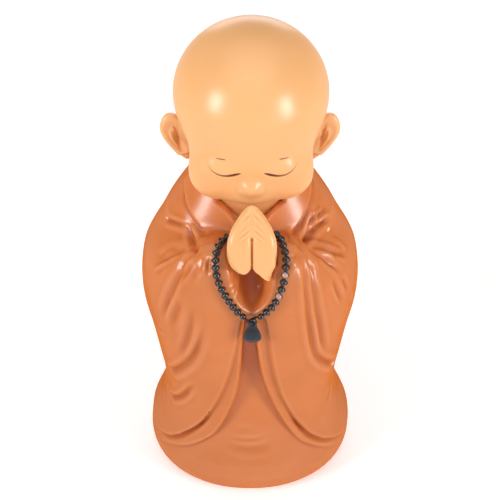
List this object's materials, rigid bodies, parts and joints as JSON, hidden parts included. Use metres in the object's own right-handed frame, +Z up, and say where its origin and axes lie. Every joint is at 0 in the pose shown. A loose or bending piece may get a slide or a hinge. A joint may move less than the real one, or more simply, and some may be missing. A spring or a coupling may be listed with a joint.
{
  "type": "praying monk statue",
  "caption": "Small cast figure of a praying child monk in a long-sleeved robe, with a bead strand and a drop pendant hung over the hands.",
  "frame": {"origin": "centre of the flat underside", "axes": "+Z up, the figure faces -Y, +X is to the right of someone who looks at its face"},
  "size_m": [0.0871, 0.0875, 0.1979],
  "materials": {
    "figure_paint": "satin terracotta paint on cast resin, with peach skin on the head and hands",
    "bead": "glossy black-brown beads on black thread",
    "pendant": "polished blue-black"
  },
  "bodies": {
    "root": {"monk_figure": "figure_paint", "bead_necklace": "bead", "pendant": "pendant"}
  },
  "joints": []
}
